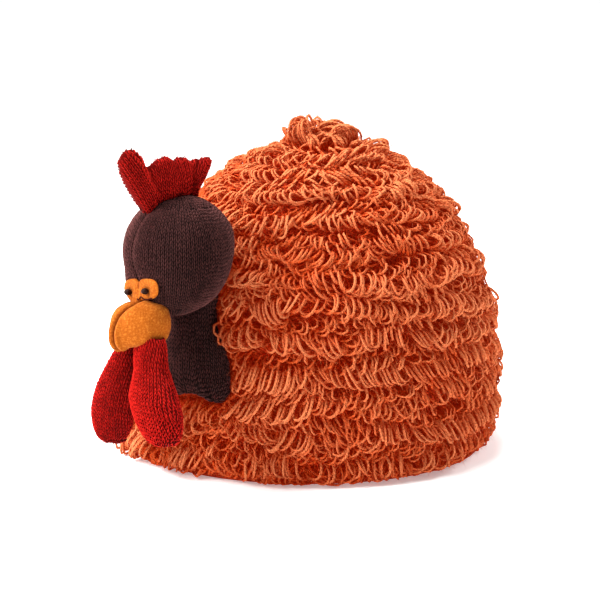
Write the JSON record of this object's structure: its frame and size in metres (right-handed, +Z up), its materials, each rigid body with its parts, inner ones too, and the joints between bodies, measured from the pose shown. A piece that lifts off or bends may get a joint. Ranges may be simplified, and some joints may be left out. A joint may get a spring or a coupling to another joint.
{
  "type": "tea cosy",
  "caption": "Hollow dome-shaped knitted tea cosy in rows of yarn loops, with side slits and a stuffed hen's head with comb, beak and wattles.",
  "frame": {"origin": "middle of the underside of the whole cosy's box, at the level of the hem", "axes": "+Z up; -X towards the spout slit; +X towards the handle slit; -Y towards the front, on the hen's side"},
  "size_m": [0.2492, 0.2676, 0.2064],
  "materials": {
    "knit_backing": "knitted wool ground, matt",
    "mohair_loops": "brushed wool loops, soft sheen",
    "brown_knit": "fine stocking stitch, matt",
    "red_knit": "fine stocking stitch, soft sheen",
    "orange_felt": "wool felt, matt",
    "black_bead": "polished bead"
  },
  "bodies": {
    "root": {"back_panel": "knit_backing", "beak": "orange_felt", "comb": "red_knit", "eye_bead_far": "black_bead", "eye_bead_near": "black_bead", "eye_felt": "orange_felt", "front_panel": "knit_backing", "head": "brown_knit", "loop_row_01_a": "mohair_loops", "loop_row_02_a": "mohair_loops", "loop_row_03_a": "mohair_loops", "loop_row_03_b": "mohair_loops", "loop_row_04_a": "mohair_loops", "loop_row_04_b": "mohair_loops", "loop_row_04_c": "mohair_loops", "loop_row_05_a": "mohair_loops", "loop_row_05_b": "mohair_loops", "loop_row_05_c": "mohair_loops", "loop_row_06_a": "mohair_loops", "loop_row_06_b": "mohair_loops", "loop_row_06_c": "mohair_loops", "loop_row_07_a": "mohair_loops", "loop_row_07_b": "mohair_loops", "loop_row_07_c": "mohair_loops", "loop_row_08_a": "mohair_loops", "loop_row_08_b": "mohair_loops", "loop_row_08_c": "mohair_loops", "loop_row_09_a": "mohair_loops", "loop_row_09_b": "mohair_loops", "loop_row_10_a": "mohair_loops", "loop_row_11_a": "mohair_loops", "loop_row_12_a": "mohair_loops", "loop_tuft": "mohair_loops", "neck_bib": "brown_knit", "wattle_far": "red_knit", "wattle_near": "red_knit"}
  },
  "joints": []
}
